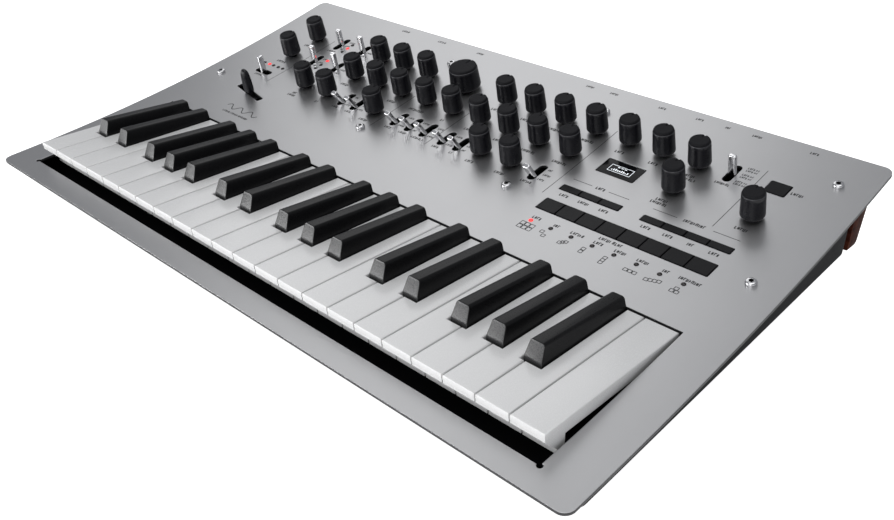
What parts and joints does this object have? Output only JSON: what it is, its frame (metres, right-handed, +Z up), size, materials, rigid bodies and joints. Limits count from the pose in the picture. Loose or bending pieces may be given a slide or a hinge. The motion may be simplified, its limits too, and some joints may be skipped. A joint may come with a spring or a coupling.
{
  "type": "synthesizer",
  "caption": "Desktop analogue synthesizer: slim piano keys and a curved aluminium panel of knobs, toggle levers and buttons over a black case with a wooden rear panel.",
  "frame": {"origin": "on the floor under the middle of the object's bounding box", "axes": "+X along the keyboard from low to high notes, +Y from the player to the rear, +Z up"},
  "size_m": [0.5, 0.3, 0.085],
  "materials": {
    "aluminium_panel": "satin anodised",
    "case_plastic": "fine moulded texture",
    "wood": "oiled reddish brown",
    "key_white": "semi-gloss",
    "key_black": "matte",
    "knob_plastic": "soft matte",
    "chrome": "polished",
    "button_plastic": "matte",
    "circuit_board": "green solder resist",
    "screw_steel": "bright",
    "print_black": "screen print",
    "display_glass": "glossy",
    "foot_rubber": "matte"
  },
  "bodies": {
    "root": {"front_panel": "aluminium_panel", "bottom_case": "case_plastic", "wood_rear_panel": "wood", "keybed_frame": "case_plastic", "control_board": "circuit_board"},
    "white_keys_ceg_b_1": {"white_keys_ceg_b_1": "key_white"},
    "white_keys_dfa_1": {"white_keys_dfa_1": "key_white"},
    "black_keys_1": {"black_keys_1": "key_black"},
    "white_keys_ceg_b_2": {"white_keys_ceg_b_2": "key_white"},
    "white_keys_dfa_2": {"white_keys_dfa_2": "key_white"},
    "black_keys_2": {"black_keys_2": "key_black"},
    "white_keys_ceg_b_3": {"white_keys_ceg_b_3": "key_white"},
    "white_keys_dfa_3": {"white_keys_dfa_3": "key_white"},
    "black_keys_3": {"black_keys_3": "key_black"},
    "pitch_slider": {"pitch_slider": "knob_plastic"},
    "button_strip": {"button_strip": "button_plastic"},
    "shift_button": {"shift_button": "button_plastic"},
    "octave_lever": {"octave_lever": "chrome"},
    "vco_1_octave_lever": {"vco_1_octave_lever": "chrome"},
    "vco_2_octave_lever": {"vco_2_octave_lever": "chrome"},
    "vco_1_wave_lever": {"vco_1_wave_lever": "chrome"},
    "vco_2_wave_lever": {"vco_2_wave_lever": "chrome"},
    "sync_lever": {"sync_lever": "chrome"},
    "ring_lever": {"ring_lever": "chrome"},
    "filter_type_lever": {"filter_type_lever": "chrome"},
    "key_track_lever": {"key_track_lever": "chrome"},
    "velocity_lever": {"velocity_lever": "chrome"},
    "lfo_wave_lever": {"lfo_wave_lever": "chrome"},
    "lfo_eg_lever": {"lfo_eg_lever": "chrome"},
    "lfo_target_lever": {"lfo_target_lever": "chrome"},
    "routing_lever": {"routing_lever": "chrome"},
    "master_knob": {"master_knob": "knob_plastic"},
    "tempo_knob": {"tempo_knob": "knob_plastic"},
    "cross_mod_depth_knob": {"cross_mod_depth_knob": "knob_plastic"},
    "pitch_eg_knob": {"pitch_eg_knob": "knob_plastic"},
    "vco_2_pitch_knob": {"vco_2_pitch_knob": "knob_plastic"},
    "vco_1_pitch_knob": {"vco_1_pitch_knob": "knob_plastic"},
    "vco_2_shape_knob": {"vco_2_shape_knob": "knob_plastic"},
    "vco_1_shape_knob": {"vco_1_shape_knob": "knob_plastic"},
    "noise_level_knob": {"noise_level_knob": "knob_plastic"},
    "vco_2_level_knob": {"vco_2_level_knob": "knob_plastic"},
    "vco_1_level_knob": {"vco_1_level_knob": "knob_plastic"},
    "resonance_knob": {"resonance_knob": "knob_plastic"},
    "cutoff_knob": {"cutoff_knob": "knob_plastic"},
    "cutoff_eg_knob": {"cutoff_eg_knob": "knob_plastic"},
    "eg_attack_knob": {"eg_attack_knob": "knob_plastic"},
    "amp_attack_knob": {"amp_attack_knob": "knob_plastic"},
    "lfo_rate_knob": {"lfo_rate_knob": "knob_plastic"},
    "eg_decay_knob": {"eg_decay_knob": "knob_plastic"},
    "amp_decay_knob": {"amp_decay_knob": "knob_plastic"},
    "lfo_depth_knob": {"lfo_depth_knob": "knob_plastic"},
    "eg_sustain_knob": {"eg_sustain_knob": "knob_plastic"},
    "amp_sustain_knob": {"amp_sustain_knob": "knob_plastic"},
    "eg_release_knob": {"eg_release_knob": "knob_plastic"},
    "amp_release_knob": {"amp_release_knob": "knob_plastic"},
    "high_pass_knob": {"high_pass_knob": "knob_plastic"},
    "delay_time_knob": {"delay_time_knob": "knob_plastic"},
    "delay_feedback_knob": {"delay_feedback_knob": "knob_plastic"},
    "value_encoder_knob": {"value_encoder_knob": "knob_plastic"},
    "voice_depth_knob": {"voice_depth_knob": "knob_plastic"}
  },
  "joints": [
    {"name": "white_keys_ceg_b_1_press", "type": "hinge", "parent": "root", "child": "white_keys_ceg_b_1", "pos_m": [0, -0.011, 0.028], "axis": [1, 0, 0], "range_deg": [0, 4.3], "stiffness_Nm_per_rad": 1, "springref_deg": -5.73},
    {"name": "white_keys_dfa_1_press", "type": "hinge", "parent": "root", "child": "white_keys_dfa_1", "pos_m": [0, -0.011, 0.028], "axis": [1, 0, 0], "range_deg": [0, 4.3], "stiffness_Nm_per_rad": 1, "springref_deg": -5.73},
    {"name": "black_keys_1_press", "type": "hinge", "parent": "root", "child": "black_keys_1", "pos_m": [0, -0.011, 0.028], "axis": [1, 0, 0], "range_deg": [0, 4.3], "stiffness_Nm_per_rad": 1, "springref_deg": -5.73},
    {"name": "white_keys_ceg_b_2_press", "type": "hinge", "parent": "root", "child": "white_keys_ceg_b_2", "pos_m": [0, -0.011, 0.028], "axis": [1, 0, 0], "range_deg": [0, 4.3], "stiffness_Nm_per_rad": 1, "springref_deg": -5.73},
    {"name": "white_keys_dfa_2_press", "type": "hinge", "parent": "root", "child": "white_keys_dfa_2", "pos_m": [0, -0.011, 0.028], "axis": [1, 0, 0], "range_deg": [0, 4.3], "stiffness_Nm_per_rad": 1, "springref_deg": -5.73},
    {"name": "black_keys_2_press", "type": "hinge", "parent": "root", "child": "black_keys_2", "pos_m": [0, -0.011, 0.028], "axis": [1, 0, 0], "range_deg": [0, 4.3], "stiffness_Nm_per_rad": 1, "springref_deg": -5.73},
    {"name": "white_keys_ceg_b_3_press", "type": "hinge", "parent": "root", "child": "white_keys_ceg_b_3", "pos_m": [0, -0.011, 0.028], "axis": [1, 0, 0], "range_deg": [0, 4.3], "stiffness_Nm_per_rad": 1, "springref_deg": -5.73},
    {"name": "white_keys_dfa_3_press", "type": "hinge", "parent": "root", "child": "white_keys_dfa_3", "pos_m": [0, -0.011, 0.028], "axis": [1, 0, 0], "range_deg": [0, 4.3], "stiffness_Nm_per_rad": 1, "springref_deg": -5.73},
    {"name": "black_keys_3_press", "type": "hinge", "parent": "root", "child": "black_keys_3", "pos_m": [0, -0.011, 0.028], "axis": [1, 0, 0], "range_deg": [0, 4.3], "stiffness_Nm_per_rad": 1, "springref_deg": -5.73},
    {"name": "pitch_slide", "type": "slide", "parent": "root", "child": "pitch_slider", "axis": [0.9796, -0.1979, -0.0358], "range_m": [-0.0135, 0.0135], "stiffness_N_per_m": 40},
    {"name": "button_strip_press", "type": "slide", "parent": "root", "child": "button_strip", "axis": [0, 0.1874, -0.9823], "range_m": [0, 0.0008], "stiffness_N_per_m": 400, "springref_m": -0.001},
    {"name": "shift_button_press", "type": "slide", "parent": "root", "child": "shift_button", "axis": [0, 0.2325, -0.9726], "range_m": [0, 0.0008], "stiffness_N_per_m": 400, "springref_m": -0.001},
    {"name": "octave_flip", "type": "hinge", "parent": "root", "child": "octave_lever", "pos_m": [-0.2008, 0.04615, 0.04467], "axis": [0, 0.9808, 0.1951], "range_deg": [-28, 28]},
    {"name": "vco_1_octave_flip", "type": "hinge", "parent": "root", "child": "vco_1_octave_lever", "pos_m": [-0.1754, 0.10652, 0.05789], "axis": [1, 0, 0], "range_deg": [-28, 28]},
    {"name": "vco_2_octave_flip", "type": "hinge", "parent": "root", "child": "vco_2_octave_lever", "pos_m": [-0.1754, 0.07811, 0.05137], "axis": [1, 0, 0], "range_deg": [-28, 28]},
    {"name": "vco_1_wave_flip", "type": "hinge", "parent": "root", "child": "vco_1_wave_lever", "pos_m": [-0.15, 0.10652, 0.05789], "axis": [1, 0, 0], "range_deg": [-28, 28]},
    {"name": "vco_2_wave_flip", "type": "hinge", "parent": "root", "child": "vco_2_wave_lever", "pos_m": [-0.15, 0.07811, 0.05137], "axis": [1, 0, 0], "range_deg": [-28, 28]},
    {"name": "sync_flip", "type": "hinge", "parent": "root", "child": "sync_lever", "pos_m": [-0.1063, 0.0496, 0.04536], "axis": [1, 0, 0], "range_deg": [-56, 0]},
    {"name": "ring_flip", "type": "hinge", "parent": "root", "child": "ring_lever", "pos_m": [-0.0923, 0.0496, 0.04536], "axis": [1, 0, 0], "range_deg": [-56, 0]},
    {"name": "filter_type_flip", "type": "hinge", "parent": "root", "child": "filter_type_lever", "pos_m": [-0.0505, 0.0496, 0.04536], "axis": [1, 0, 0], "range_deg": [-56, 0]},
    {"name": "key_track_flip", "type": "hinge", "parent": "root", "child": "key_track_lever", "pos_m": [-0.0363, 0.0496, 0.04536], "axis": [1, 0, 0], "range_deg": [-56, 0]},
    {"name": "velocity_flip", "type": "hinge", "parent": "root", "child": "velocity_lever", "pos_m": [-0.0221, 0.0496, 0.04536], "axis": [1, 0, 0], "range_deg": [-56, 0]},
    {"name": "lfo_wave_flip", "type": "hinge", "parent": "root", "child": "lfo_wave_lever", "pos_m": [-0.0039, 0.04861, 0.04516], "axis": [1, 0, 0], "range_deg": [-56, 0]},
    {"name": "lfo_eg_flip", "type": "hinge", "parent": "root", "child": "lfo_eg_lever", "pos_m": [0.0101, 0.04861, 0.04516], "axis": [1, 0, 0], "range_deg": [-56, 0]},
    {"name": "lfo_target_flip", "type": "hinge", "parent": "root", "child": "lfo_target_lever", "pos_m": [0.0734, 0.0491, 0.04526], "axis": [1, 0, 0], "range_deg": [-56, 0]},
    {"name": "routing_flip", "type": "hinge", "parent": "root", "child": "routing_lever", "pos_m": [0.174, 0.10632, 0.05785], "axis": [1, 0, 0], "range_deg": [-28, 28]},
    {"name": "master_turn", "type": "hinge", "parent": "root", "child": "master_knob", "pos_m": [-0.2008, 0.07444, 0.05875], "axis": [0, -0.2139, 0.9769], "range_deg": [-150, 150]},
    {"name": "tempo_turn", "type": "hinge", "parent": "root", "child": "tempo_knob", "pos_m": [-0.2008, 0.10222, 0.06509], "axis": [0, -0.2313, 0.9729], "range_deg": [-150, 150]},
    {"name": "cross_mod_depth_turn", "type": "hinge", "parent": "root", "child": "cross_mod_depth_knob", "pos_m": [-0.15, 0.04655, 0.05291], "axis": [0, -0.1963, 0.9805], "range_deg": [-150, 150]},
    {"name": "pitch_eg_turn", "type": "hinge", "parent": "root", "child": "pitch_eg_knob", "pos_m": [-0.1246, 0.04655, 0.05291], "axis": [0, -0.1963, 0.9805], "range_deg": [-150, 150]},
    {"name": "vco_2_pitch_turn", "type": "hinge", "parent": "root", "child": "vco_2_pitch_knob", "pos_m": [-0.1246, 0.07444, 0.05875], "axis": [0, -0.2139, 0.9769], "range_deg": [-150, 150]},
    {"name": "vco_1_pitch_turn", "type": "hinge", "parent": "root", "child": "vco_1_pitch_knob", "pos_m": [-0.1246, 0.10222, 0.06509], "axis": [0, -0.2313, 0.9729], "range_deg": [-150, 150]},
    {"name": "vco_2_shape_turn", "type": "hinge", "parent": "root", "child": "vco_2_shape_knob", "pos_m": [-0.0992, 0.07444, 0.05875], "axis": [0, -0.2139, 0.9769], "range_deg": [-150, 150]},
    {"name": "vco_1_shape_turn", "type": "hinge", "parent": "root", "child": "vco_1_shape_knob", "pos_m": [-0.0992, 0.10222, 0.06509], "axis": [0, -0.2313, 0.9729], "range_deg": [-150, 150]},
    {"name": "noise_level_turn", "type": "hinge", "parent": "root", "child": "noise_level_knob", "pos_m": [-0.0738, 0.04655, 0.05291], "axis": [0, -0.1963, 0.9805], "range_deg": [-150, 150]},
    {"name": "vco_2_level_turn", "type": "hinge", "parent": "root", "child": "vco_2_level_knob", "pos_m": [-0.0738, 0.07444, 0.05875], "axis": [0, -0.2139, 0.9769], "range_deg": [-150, 150]},
    {"name": "vco_1_level_turn", "type": "hinge", "parent": "root", "child": "vco_1_level_knob", "pos_m": [-0.0738, 0.10222, 0.06509], "axis": [0, -0.2313, 0.9729], "range_deg": [-150, 150]},
    {"name": "resonance_turn", "type": "hinge", "parent": "root", "child": "resonance_knob", "pos_m": [-0.0484, 0.07444, 0.05875], "axis": [0, -0.2139, 0.9769], "range_deg": [-150, 150]},
    {"name": "cutoff_turn", "type": "hinge", "parent": "root", "child": "cutoff_knob", "pos_m": [-0.03697, 0.10222, 0.06509], "axis": [0, -0.2313, 0.9729], "range_deg": [-150, 150]},
    {"name": "cutoff_eg_turn", "type": "hinge", "parent": "root", "child": "cutoff_eg_knob", "pos_m": [-0.023, 0.07444, 0.05875], "axis": [0, -0.2139, 0.9769], "range_deg": [-150, 150]},
    {"name": "eg_attack_turn", "type": "hinge", "parent": "root", "child": "eg_attack_knob", "pos_m": [0.0024, 0.07444, 0.05875], "axis": [0, -0.2139, 0.9769], "range_deg": [-150, 150]},
    {"name": "amp_attack_turn", "type": "hinge", "parent": "root", "child": "amp_attack_knob", "pos_m": [0.0024, 0.10222, 0.06509], "axis": [0, -0.2313, 0.9729], "range_deg": [-150, 150]},
    {"name": "lfo_rate_turn", "type": "hinge", "parent": "root", "child": "lfo_rate_knob", "pos_m": [0.0278, 0.04655, 0.05291], "axis": [0, -0.1963, 0.9805], "range_deg": [-150, 150]},
    {"name": "eg_decay_turn", "type": "hinge", "parent": "root", "child": "eg_decay_knob", "pos_m": [0.0278, 0.07444, 0.05875], "axis": [0, -0.2139, 0.9769], "range_deg": [-150, 150]},
    {"name": "amp_decay_turn", "type": "hinge", "parent": "root", "child": "amp_decay_knob", "pos_m": [0.0278, 0.10222, 0.06509], "axis": [0, -0.2313, 0.9729], "range_deg": [-150, 150]},
    {"name": "lfo_depth_turn", "type": "hinge", "parent": "root", "child": "lfo_depth_knob", "pos_m": [0.0532, 0.04655, 0.05291], "axis": [0, -0.1963, 0.9805], "range_deg": [-150, 150]},
    {"name": "eg_sustain_turn", "type": "hinge", "parent": "root", "child": "eg_sustain_knob", "pos_m": [0.0532, 0.07444, 0.05875], "axis": [0, -0.2139, 0.9769], "range_deg": [-150, 150]},
    {"name": "amp_sustain_turn", "type": "hinge", "parent": "root", "child": "amp_sustain_knob", "pos_m": [0.0532, 0.10222, 0.06509], "axis": [0, -0.2313, 0.9729], "range_deg": [-150, 150]},
    {"name": "eg_release_turn", "type": "hinge", "parent": "root", "child": "eg_release_knob", "pos_m": [0.0786, 0.07444, 0.05875], "axis": [0, -0.2139, 0.9769], "range_deg": [-150, 150]},
    {"name": "amp_release_turn", "type": "hinge", "parent": "root", "child": "amp_release_knob", "pos_m": [0.0786, 0.10222, 0.06509], "axis": [0, -0.2313, 0.9729], "range_deg": [-150, 150]},
    {"name": "high_pass_turn", "type": "hinge", "parent": "root", "child": "high_pass_knob", "pos_m": [0.104, 0.10222, 0.06509], "axis": [0, -0.2313, 0.9729], "range_deg": [-150, 150]},
    {"name": "delay_time_turn", "type": "hinge", "parent": "root", "child": "delay_time_knob", "pos_m": [0.12864, 0.10222, 0.06509], "axis": [0, -0.2313, 0.9729], "range_deg": [-150, 150]},
    {"name": "delay_feedback_turn", "type": "hinge", "parent": "root", "child": "delay_feedback_knob", "pos_m": [0.15353, 0.10222, 0.06509], "axis": [0, -0.2313, 0.9729], "range_deg": [-150, 150]},
    {"name": "value_encoder_turn", "type": "hinge", "parent": "root", "child": "value_encoder_knob", "pos_m": [0.15353, 0.07444, 0.05875], "axis": [0, -0.2139, 0.9769], "continuous": true},
    {"name": "voice_depth_turn", "type": "hinge", "parent": "root", "child": "voice_depth_knob", "pos_m": [0.20433, 0.07444, 0.05875], "axis": [0, -0.2139, 0.9769], "range_deg": [-150, 150]}
  ]
}
